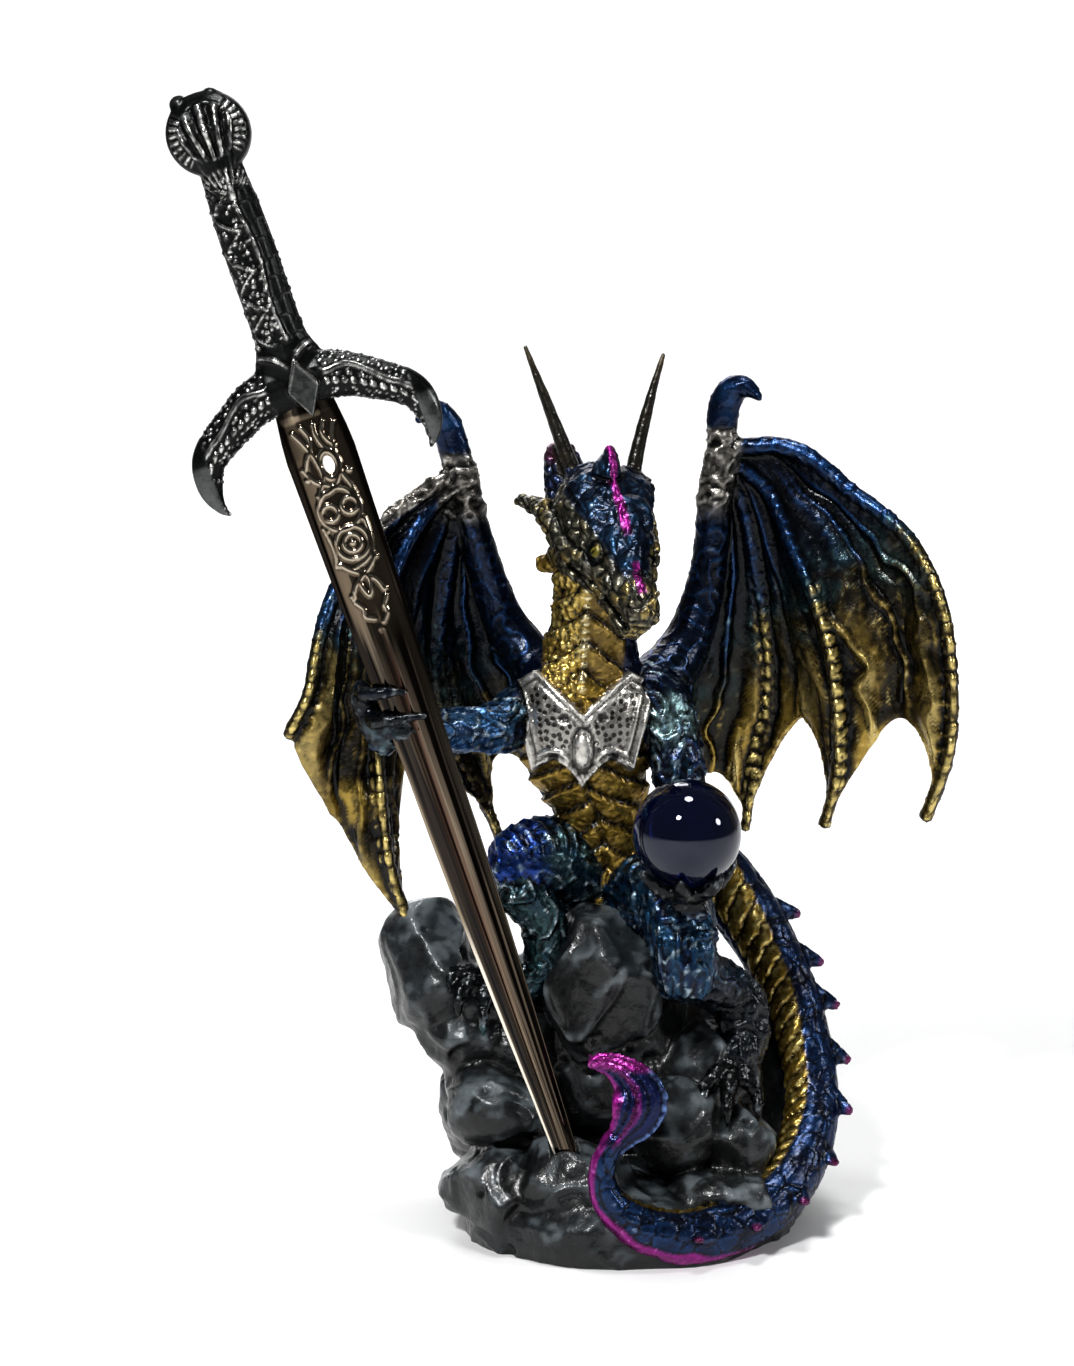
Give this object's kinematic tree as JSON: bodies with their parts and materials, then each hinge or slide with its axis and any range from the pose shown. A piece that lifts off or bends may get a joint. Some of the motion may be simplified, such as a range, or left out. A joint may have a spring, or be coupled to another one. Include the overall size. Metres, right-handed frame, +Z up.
{
  "type": "dragon statue",
  "caption": "Crouching winged dragon on a rock base, holding a small sword letter opener in one claw and a glass orb in the other.",
  "frame": {"origin": "on the underside of the rock base, near its middle", "axes": "+Z up; the dragon's chest faces -Y, towards the viewer; +X is the viewer's right"},
  "size_m": [0.1402, 0.071, 0.2059],
  "materials": {
    "painted_resin": "cast resin painted metallic blue, dry-brushed with antique gold and silver on the ridges",
    "smoked_chrome": "polished smoked chrome with lengthwise ridges and a worked panel at the guard",
    "antique_pewter": "cast pewter, darkened in the hollows and polished on the relief",
    "blue_glass": "clear deep blue glass"
  },
  "bodies": {
    "root": {"dragon_on_rocks": "painted_resin", "sword_blade": "smoked_chrome", "sword_hilt": "antique_pewter", "glass_orb": "blue_glass"}
  },
  "joints": []
}
